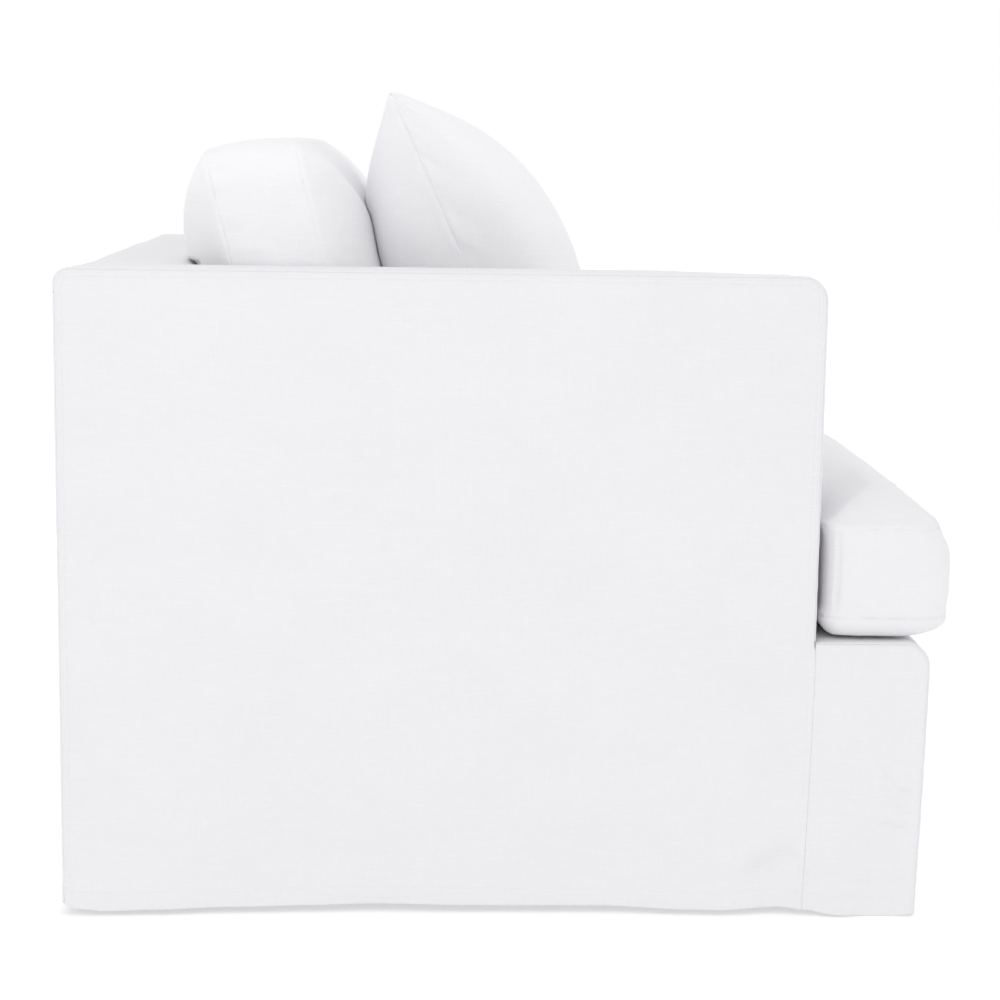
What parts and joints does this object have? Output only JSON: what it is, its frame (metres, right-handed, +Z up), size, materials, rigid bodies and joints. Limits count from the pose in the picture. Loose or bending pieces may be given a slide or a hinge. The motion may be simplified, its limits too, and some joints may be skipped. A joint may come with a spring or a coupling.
{
  "type": "fitted slipcover of a one-arm sofa section, with its covered seat cushion, back cushion and throw pillow",
  "caption": "White linen slipcover of a one-arm sofa section: boxed arm, long skirt, L-shaped seat cushion, leaning back cushion and knife-edged pillow, hollow below.",
  "frame": {"origin": "bottom centre of the whole cover's box, on the floor", "axes": "+Z up, the seat faces -Y, -X towards the arm, which is on the right of someone seated"},
  "size_m": [0.95, 1.0178, 0.936],
  "materials": {
    "panel_linen": "washed white linen blend, slubbed plain weave, matte",
    "cushion_linen": "the same linen over filled cushions, matte"
  },
  "bodies": {
    "root": {"outside_arm": "panel_linen", "inside_arm": "panel_linen", "arm_strip": "panel_linen", "back_end": "panel_linen", "outside_back": "panel_linen", "back_top": "panel_linen", "inside_back": "panel_linen", "deck": "panel_linen", "skirt_side_right": "panel_linen", "skirt_side_left": "panel_linen", "skirt_front": "panel_linen", "seat_cushion": "cushion_linen", "back_cushion": "cushion_linen", "pillow": "cushion_linen"}
  },
  "joints": []
}
